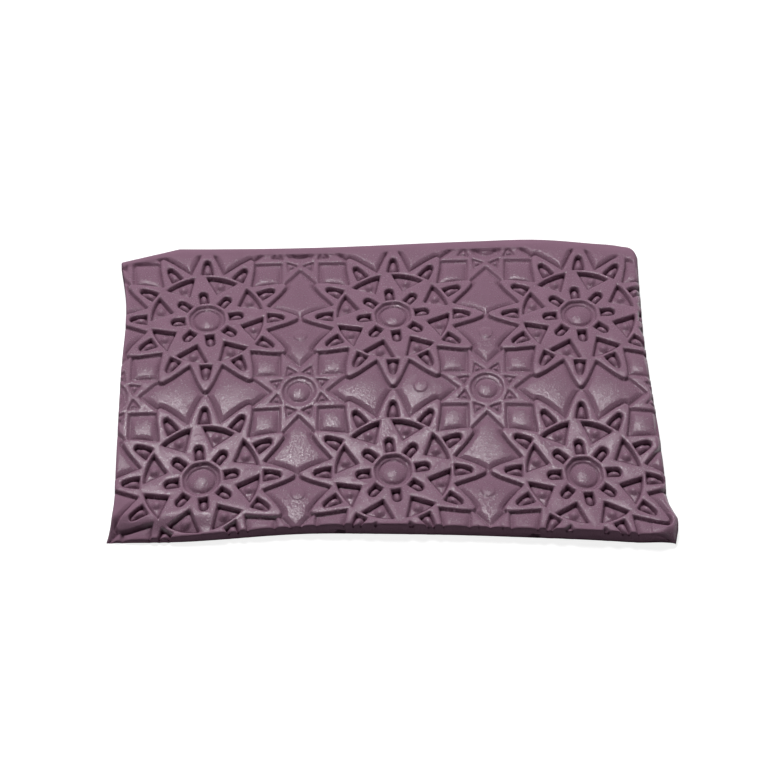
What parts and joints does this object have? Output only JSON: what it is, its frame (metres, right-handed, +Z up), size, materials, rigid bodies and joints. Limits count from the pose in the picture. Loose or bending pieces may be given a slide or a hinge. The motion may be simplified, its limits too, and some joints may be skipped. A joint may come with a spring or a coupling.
{
  "type": "clay texture sheet",
  "caption": "Flexible moulded rubber sheet with a raised star-and-rosette relief, pressed onto clay to leave its pattern.",
  "frame": {"origin": "middle of the sheet's bounding box, on the surface that it rests on", "axes": "+X along the long side, +Y from the front edge to the back edge, +Z up through the relief"},
  "size_m": [0.1406, 0.0924, 0.008],
  "materials": {
    "rubber": "satin"
  },
  "bodies": {
    "root": {"texture_sheet": "rubber"}
  },
  "joints": []
}
